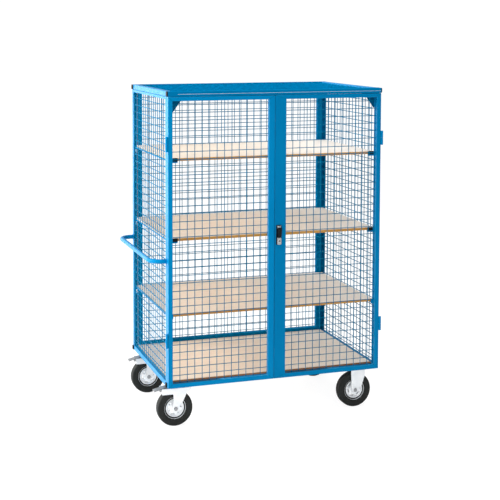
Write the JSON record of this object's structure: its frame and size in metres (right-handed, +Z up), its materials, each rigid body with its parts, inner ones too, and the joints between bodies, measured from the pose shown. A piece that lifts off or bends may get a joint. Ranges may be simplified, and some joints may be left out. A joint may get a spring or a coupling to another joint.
{
  "type": "roll cage container",
  "caption": "Blue wire mesh roll cage cabinet on casters with hinged double mesh doors, swing-handle lock, wooden deck and shelves, and a push bow on one end.",
  "frame": {"origin": "middle of the outline on the floor, the push bow and the hinge barrels included", "axes": "+Z up, the doors face -Y, the push bow is on the -X end"},
  "size_m": [1.36, 0.8134, 1.846],
  "materials": {
    "blue_paint": "semi-gloss bright mid-blue powder coat",
    "beech": "matt pale beech board with brown edges",
    "zinc": "bright zinc plate",
    "rubber": "matt black rubber",
    "black_plastic": "matt black plastic",
    "silver_lock": "satin zinc die casting"
  },
  "bodies": {
    "cart": {"base_frame": "blue_paint", "left_end_frame": "blue_paint", "right_end_frame": "blue_paint", "rear_frame": "blue_paint", "roof_frame": "blue_paint", "mesh_left": "blue_paint", "mesh_right": "blue_paint", "mesh_rear": "blue_paint", "mesh_roof": "blue_paint", "shelf_support_1": "blue_paint", "shelf_support_2": "blue_paint", "shelf_support_3": "blue_paint", "push_handle": "blue_paint", "hinge_left_upper_frame_leaf": "blue_paint", "hinge_left_lower_frame_leaf": "blue_paint", "hinge_right_upper_frame_leaf": "blue_paint", "hinge_right_lower_frame_leaf": "blue_paint", "deck_board": "beech", "shelf_board_1": "beech", "shelf_board_2": "beech", "shelf_board_3": "beech", "cap_roof_front_left": "black_plastic", "cap_roof_rear_left": "black_plastic", "cap_roof_front_right": "black_plastic", "cap_base_front_left": "black_plastic", "cap_base_rear_left": "black_plastic", "caster_front_left_plate": "zinc", "caster_rear_left_plate": "zinc", "caster_front_right_fork": "zinc", "caster_front_right_axle": "zinc", "caster_rear_right_fork": "zinc", "caster_rear_right_axle": "zinc"},
    "left_door": {"door_left_frame": "blue_paint", "door_left_mesh": "blue_paint", "hinge_left_upper_door_leaf": "blue_paint", "hinge_left_lower_door_leaf": "blue_paint"},
    "right_door": {"door_right_frame": "blue_paint", "door_right_mesh": "blue_paint", "hinge_right_upper_door_leaf": "blue_paint", "hinge_right_lower_door_leaf": "blue_paint", "lock_plate": "silver_lock"},
    "lock_spindle_body": {"lock_spindle": "silver_lock"},
    "lock_lever_body": {"lock_lever": "black_plastic"},
    "key_plug_body": {"key_plug": "silver_lock"},
    "upper_rod_body": {"rod_upper": "zinc"},
    "lower_rod_body": {"rod_lower": "zinc"},
    "caster_front_left_body": {"caster_front_left_fork": "zinc", "caster_front_left_axle": "zinc"},
    "wheel_front_left_body": {"wheel_front_left_rim": "zinc", "wheel_front_left_tyre": "rubber"},
    "pedal_front_left_body": {"caster_front_left_pedal": "zinc"},
    "caster_rear_left_body": {"caster_rear_left_fork": "zinc", "caster_rear_left_axle": "zinc"},
    "wheel_rear_left_body": {"wheel_rear_left_rim": "zinc", "wheel_rear_left_tyre": "rubber"},
    "pedal_rear_left_body": {"caster_rear_left_pedal": "zinc"},
    "wheel_front_right_body": {"wheel_front_right_rim": "zinc", "wheel_front_right_tyre": "rubber"},
    "wheel_rear_right_body": {"wheel_rear_right_rim": "zinc", "wheel_rear_right_tyre": "rubber"}
  },
  "joints": [
    {"name": "left_door_hinge", "type": "hinge", "parent": "cart", "child": "left_door", "pos_m": [-0.593, -0.37975, 1.03], "axis": [0, 0, -1], "range_deg": [0, 180]},
    {"name": "right_door_hinge", "type": "hinge", "parent": "cart", "child": "right_door", "pos_m": [0.673, -0.37975, 1.03], "axis": [0, 0, 1], "range_deg": [0, 265]},
    {"name": "lock_turn", "type": "hinge", "parent": "right_door", "child": "lock_spindle_body", "pos_m": [0.049, -0.38325, 1.0827], "axis": [0, 1, 0], "range_deg": [0, 90]},
    {"name": "lock_lift", "type": "hinge", "parent": "lock_spindle_body", "child": "lock_lever_body", "pos_m": [0.049, -0.39775, 1.0827], "axis": [-1, 0, 0], "range_deg": [0, 70]},
    {"name": "key_turn", "type": "hinge", "parent": "right_door", "child": "key_plug_body", "pos_m": [0.049, -0.38325, 1.0097], "axis": [0, 1, 0], "range_deg": [0, 90]},
    {"name": "upper_rod_slide", "type": "slide", "parent": "right_door", "child": "upper_rod_body", "axis": [0, 0, 1], "range_m": [-0.015, 0]},
    {"name": "lower_rod_slide", "type": "slide", "parent": "right_door", "child": "lower_rod_body", "axis": [0, 0, 1], "range_m": [0, 0.015]},
    {"name": "swivel_front_left", "type": "hinge", "parent": "cart", "child": "caster_front_left_body", "pos_m": [-0.47, -0.29375, 0.22], "axis": [0, 0, 1], "continuous": true},
    {"name": "wheel_front_left", "type": "hinge", "parent": "caster_front_left_body", "child": "wheel_front_left_body", "pos_m": [-0.527, -0.29375, 0.1], "axis": [0, 1, 0], "continuous": true},
    {"name": "brake_front_left", "type": "hinge", "parent": "caster_front_left_body", "child": "pedal_front_left_body", "pos_m": [-0.5655, -0.29375, 0.2164], "axis": [0, -1, 0], "range_deg": [0, 18]},
    {"name": "swivel_rear_left", "type": "hinge", "parent": "cart", "child": "caster_rear_left_body", "pos_m": [-0.47, 0.28375, 0.22], "axis": [0, 0, 1], "continuous": true},
    {"name": "wheel_rear_left", "type": "hinge", "parent": "caster_rear_left_body", "child": "wheel_rear_left_body", "pos_m": [-0.527, 0.28375, 0.1], "axis": [0, 1, 0], "continuous": true},
    {"name": "brake_rear_left", "type": "hinge", "parent": "caster_rear_left_body", "child": "pedal_rear_left_body", "pos_m": [-0.5655, 0.28375, 0.2164], "axis": [0, -1, 0], "range_deg": [0, 18]},
    {"name": "wheel_front_right", "type": "hinge", "parent": "cart", "child": "wheel_front_right_body", "pos_m": [0.55, -0.29375, 0.1], "axis": [0, 1, 0], "continuous": true},
    {"name": "wheel_rear_right", "type": "hinge", "parent": "cart", "child": "wheel_rear_right_body", "pos_m": [0.55, 0.28375, 0.1], "axis": [0, 1, 0], "continuous": true}
  ],
  "couplings": [
    {"joint": "upper_rod_slide", "follows": "lock_turn", "m_per_rad": -0.0095},
    {"joint": "lower_rod_slide", "follows": "lock_turn", "m_per_rad": 0.0095}
  ]
}
